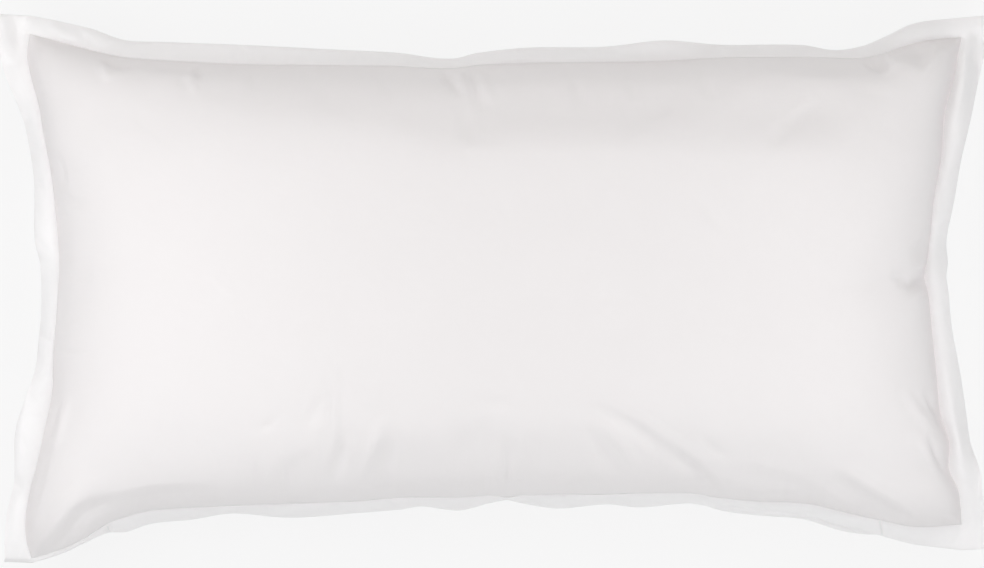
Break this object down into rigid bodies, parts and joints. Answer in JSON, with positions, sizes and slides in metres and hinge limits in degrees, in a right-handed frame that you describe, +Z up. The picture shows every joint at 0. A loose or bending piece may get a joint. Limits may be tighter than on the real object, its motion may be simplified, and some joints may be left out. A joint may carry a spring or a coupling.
{
  "type": "pillowcase with its pillow",
  "caption": "Filled king-size pillowcase in plain white cotton with a flat double-layer border sewn all round, lying on its back.",
  "frame": {"origin": "centre of the bounding box, on the surface that the pillowcase lies on", "axes": "+X along the length, towards the end with the pinched side; +Y across the width, away from the case's opening; +Z up, out of the front of the case"},
  "size_m": [0.9604, 0.5322, 0.1424],
  "materials": {
    "body_cotton": "matt plain-weave cotton with a soft sheen",
    "border_cotton": "matt plain-weave cotton, thin enough to let some light through"
  },
  "bodies": {
    "root": {"filled_body": "body_cotton", "border_front": "border_cotton", "border_back": "border_cotton"}
  },
  "joints": []
}
